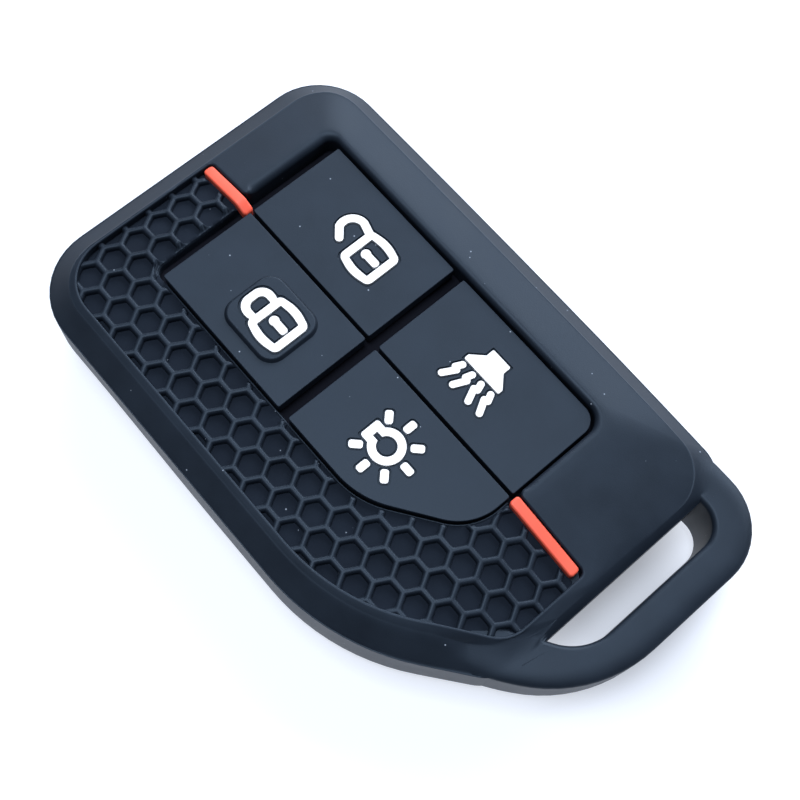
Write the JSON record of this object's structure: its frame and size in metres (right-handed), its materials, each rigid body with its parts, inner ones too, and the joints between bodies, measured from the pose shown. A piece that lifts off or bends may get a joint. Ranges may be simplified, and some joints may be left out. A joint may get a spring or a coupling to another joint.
{
  "type": "key fob cover",
  "caption": "Black silicone cover for a car key fob: push pads with white symbols, honeycomb grip, red stripes, a back window and a slotted key ring loop.",
  "frame": {"origin": "middle of the bounding box at the level back face", "axes": "+X along the cover towards the key ring loop, +Y across towards the unlock and lamp pads, +Z out of the pads"},
  "size_m": [0.091, 0.0542, 0.016],
  "materials": {
    "black_silicone": "matte",
    "white_silicone": "matte",
    "red_silicone": "matte"
  },
  "bodies": {
    "sleeve": {"front_shell": "black_silicone", "back_shell": "black_silicone", "honeycomb_grip": "black_silicone", "keypad_sheet": "black_silicone", "stripe_left": "red_silicone", "stripe_right": "red_silicone", "web_unlock": "black_silicone", "web_lock": "black_silicone", "web_lamp": "black_silicone", "web_light": "black_silicone"},
    "unlock_button": {"pad_unlock": "black_silicone", "icon_unlock": "white_silicone"},
    "lock_button": {"pad_lock": "black_silicone", "icon_lock": "white_silicone"},
    "lamp_button": {"pad_lamp": "black_silicone", "icon_lamp": "white_silicone"},
    "light_button": {"pad_light": "black_silicone", "icon_light": "white_silicone"}
  },
  "joints": [
    {"name": "press_unlock", "type": "slide", "parent": "sleeve", "child": "unlock_button", "axis": [0, 0, -1], "range_m": [0, 0.0006], "stiffness_N_per_m": 2500, "deforming": ["web_unlock"]},
    {"name": "press_lock", "type": "slide", "parent": "sleeve", "child": "lock_button", "axis": [0, 0, -1], "range_m": [0, 0.0006], "stiffness_N_per_m": 2500, "deforming": ["web_lock"]},
    {"name": "press_lamp", "type": "slide", "parent": "sleeve", "child": "lamp_button", "axis": [0, 0, -1], "range_m": [0, 0.0006], "stiffness_N_per_m": 2500, "deforming": ["web_lamp"]},
    {"name": "press_light", "type": "slide", "parent": "sleeve", "child": "light_button", "axis": [0, 0, -1], "range_m": [0, 0.0006], "stiffness_N_per_m": 2500, "deforming": ["web_light"]}
  ]
}
